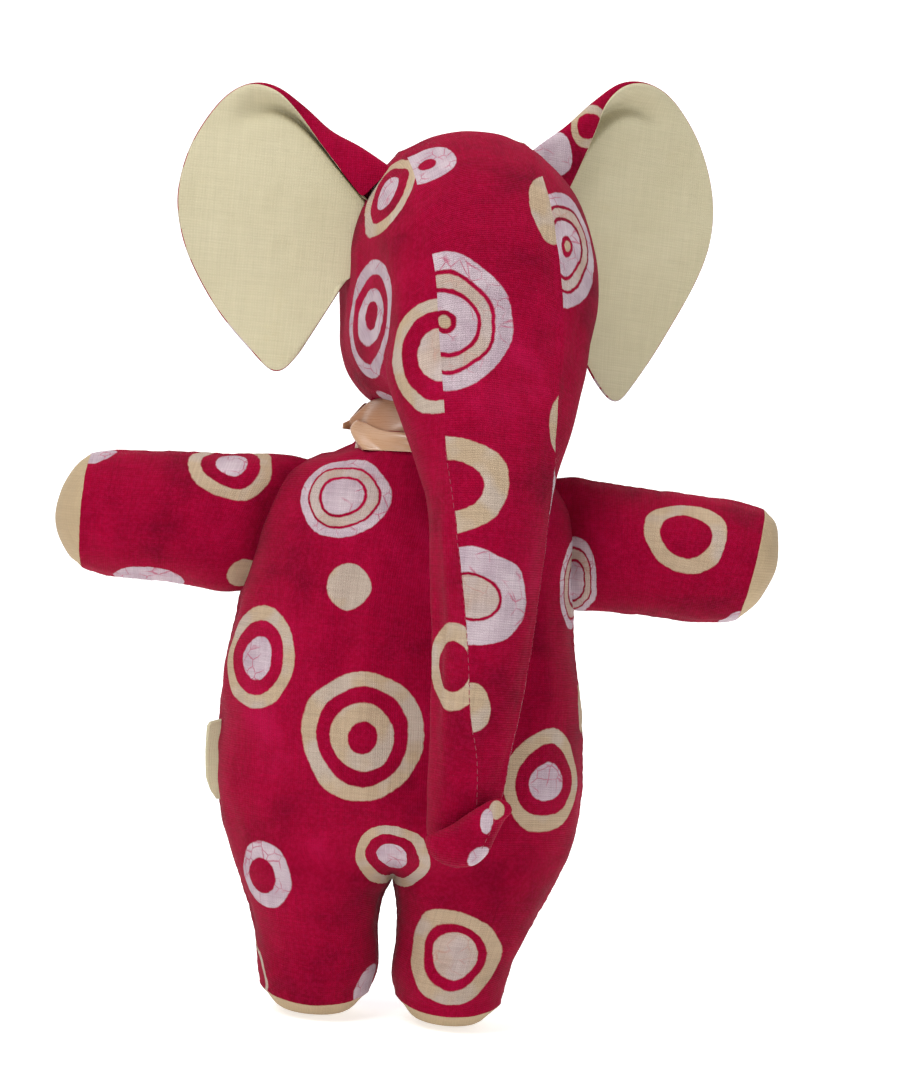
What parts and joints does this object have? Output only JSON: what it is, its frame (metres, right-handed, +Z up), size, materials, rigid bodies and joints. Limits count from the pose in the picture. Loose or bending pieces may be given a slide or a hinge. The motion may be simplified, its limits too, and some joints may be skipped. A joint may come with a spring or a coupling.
{
  "type": "stuffed toy elephant",
  "caption": "Stuffed cloth elephant sewn from batik-print cotton, with plain ear linings, paw pads and soles, a long folded-tip trunk and a satin neck ribbon.",
  "frame": {"origin": "on the floor, at the centre of the box of the toy standing on its soles", "axes": "+Z up; the toy faces -Y; +X is towards the toy's own left arm"},
  "size_m": [0.2306, 0.1156, 0.3092],
  "materials": {
    "printed_cotton": "plain-weave batik cotton, crimson with cream and pinkish-white rings",
    "plain_cotton": "plain-weave unbleached cotton",
    "satin_ribbon": "glossy woven satin",
    "fibre_filling": "loose polyester fibre",
    "sewing_thread": "spun thread"
  },
  "bodies": {
    "torso": {"torso_front_panel": "printed_cotton", "torso_back_left": "printed_cotton", "torso_back_right": "printed_cotton", "torso_filling": "fibre_filling", "side_tag": "plain_cotton", "closing_stitches": "sewing_thread"},
    "neck": {"neck_filling": "fibre_filling", "neck_collar": "printed_cotton", "neck_ribbon": "satin_ribbon"},
    "head": {"head_gusset": "printed_cotton", "head_side_right": "printed_cotton", "head_side_left": "printed_cotton", "head_filling": "fibre_filling"},
    "trunk": {"trunk_gusset": "printed_cotton", "trunk_side_right": "printed_cotton", "trunk_side_left": "printed_cotton", "trunk_filling": "fibre_filling", "trunk_tip_fold": "printed_cotton"},
    "right_arm": {"right_arm_front": "printed_cotton", "right_arm_back": "printed_cotton", "right_paw_pad": "plain_cotton", "right_arm_filling": "fibre_filling"},
    "right_leg": {"right_leg_front": "printed_cotton", "right_leg_back": "printed_cotton", "right_sole_pad": "plain_cotton", "right_leg_filling": "fibre_filling"},
    "right_ear": {"right_ear_lining": "plain_cotton", "right_ear_back": "printed_cotton"},
    "left_arm": {"left_arm_front": "printed_cotton", "left_arm_back": "printed_cotton", "left_paw_pad": "plain_cotton", "left_arm_filling": "fibre_filling"},
    "left_leg": {"left_leg_front": "printed_cotton", "left_leg_back": "printed_cotton", "left_sole_pad": "plain_cotton", "left_leg_filling": "fibre_filling"},
    "left_ear": {"left_ear_lining": "plain_cotton", "left_ear_back": "printed_cotton"}
  },
  "joints": [
    {"name": "head_nod", "type": "hinge", "parent": "torso", "child": "neck", "pos_m": [0.0041, 0.0122, 0.18], "axis": [-1, 0, 0], "range_deg": [0, 16], "stiffness_Nm_per_rad": 0.25},
    {"name": "head_turn", "type": "hinge", "parent": "neck", "child": "head", "pos_m": [0.0041, 0.0122, 0.196], "axis": [0, 0, 1], "range_deg": [-40, 16], "stiffness_Nm_per_rad": 0.12},
    {"name": "trunk_lift", "type": "hinge", "parent": "head", "child": "trunk", "pos_m": [0.0176, -0.0258, 0.205], "axis": [-0.9511, -0.309, 0], "range_deg": [0, 46], "stiffness_Nm_per_rad": 0.03},
    {"name": "right_arm_swing", "type": "hinge", "parent": "torso", "child": "right_arm", "pos_m": [-0.0484, 0.0102, 0.1535], "axis": [0.335, 0, 0.9422], "range_deg": [-45, 55], "stiffness_Nm_per_rad": 0.03},
    {"name": "left_arm_swing", "type": "hinge", "parent": "torso", "child": "left_arm", "pos_m": [0.0496, 0.0102, 0.153], "axis": [0.1293, 0, -0.9916], "range_deg": [-45, 55], "stiffness_Nm_per_rad": 0.03},
    {"name": "right_leg_swing", "type": "hinge", "parent": "torso", "child": "right_leg", "pos_m": [-0.0254, 0.0102, 0.054], "axis": [-1, 0, 0], "range_deg": [-18, 40], "stiffness_Nm_per_rad": 0.6},
    {"name": "left_leg_swing", "type": "hinge", "parent": "torso", "child": "left_leg", "pos_m": [0.0286, 0.0102, 0.054], "axis": [-1, 0, 0], "range_deg": [-18, 40], "stiffness_Nm_per_rad": 0.6},
    {"name": "right_ear_flap", "type": "hinge", "parent": "head", "child": "right_ear", "pos_m": [-0.0296, -0.0028, 0.247], "axis": [0.074, 0, 0.9973], "range_deg": [-20, 36], "stiffness_Nm_per_rad": 0.006},
    {"name": "left_ear_flap", "type": "hinge", "parent": "head", "child": "left_ear", "pos_m": [0.0432, 0.0207, 0.2495], "axis": [0.1513, 0, -0.9885], "range_deg": [-20, 36], "stiffness_Nm_per_rad": 0.006}
  ]
}
